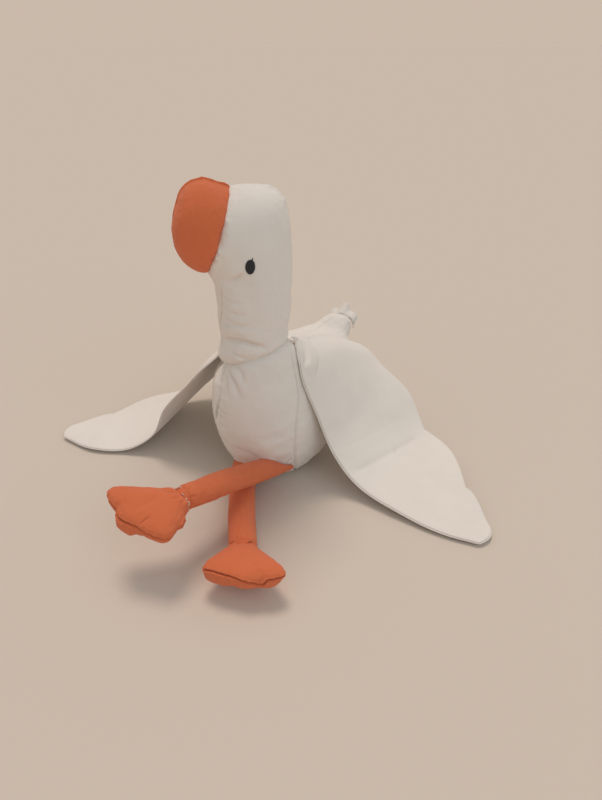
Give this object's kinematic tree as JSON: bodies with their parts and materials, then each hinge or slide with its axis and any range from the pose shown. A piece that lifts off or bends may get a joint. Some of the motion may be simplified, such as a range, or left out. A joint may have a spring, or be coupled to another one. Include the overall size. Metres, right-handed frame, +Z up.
{
  "type": "plush goose",
  "caption": "Soft toy goose sitting upright with spread cloth wings, crossed legs, webbed feet and a rounded beak.",
  "frame": {"origin": "on the floor, in the middle of the flat resting face under the body", "axes": "+Z up, -Y the way the belly faces, +X the goose's left"},
  "size_m": [0.3052, 0.2222, 0.1924],
  "materials": {
    "white_cotton": "matt woven cotton",
    "orange_cotton": "matt woven cotton",
    "black_thread": "satin embroidery",
    "pale_thread": "twisted sewing thread"
  },
  "bodies": {
    "root": {"body": "white_cotton", "head_neck": "white_cotton", "beak": "orange_cotton", "eye_left": "black_thread", "eye_right": "black_thread", "wing_left": "white_cotton", "wing_right": "white_cotton", "tail": "white_cotton", "leg_left": "orange_cotton", "leg_right": "orange_cotton", "foot_left": "orange_cotton", "foot_right": "orange_cotton", "closing_thread": "pale_thread", "ankle_thread_left": "pale_thread", "ankle_thread_right": "orange_cotton"}
  },
  "joints": []
}
